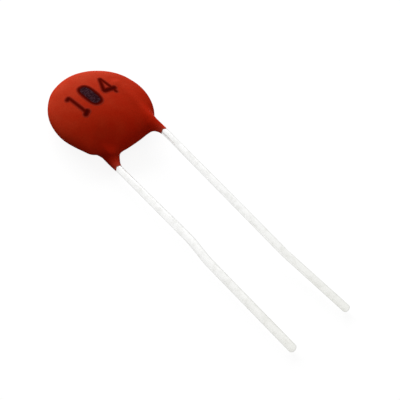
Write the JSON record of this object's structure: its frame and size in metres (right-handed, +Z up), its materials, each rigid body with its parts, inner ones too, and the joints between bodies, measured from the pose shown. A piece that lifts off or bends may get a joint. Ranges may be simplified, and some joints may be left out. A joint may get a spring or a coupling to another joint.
{
  "type": "radial ceramic disc capacitor",
  "caption": "Orange-red resin-dipped ceramic disc capacitor with long tinned wire leads, lying on its back",
  "frame": {"origin": "middle of the part's footprint on the surface it lies on", "axes": "+X across the two leads, +Y from the lead tips to the disc, +Z up out of the disc's marked front face"},
  "size_m": [0.009, 0.0306, 0.0024],
  "materials": {
    "resin": "satin orange-red dipped resin",
    "ceramic": "fired tan titanate ceramic",
    "silver": "matt fired silver film",
    "solder": "dull tin solder",
    "tinned_wire": "bright tinned wire"
  },
  "bodies": {
    "root": {"coating": "resin", "dielectric_disc": "ceramic", "electrode_front": "silver", "electrode_rear": "silver", "solder_front": "solder", "solder_rear": "solder", "lead_front": "tinned_wire", "lead_rear": "tinned_wire"}
  },
  "joints": []
}
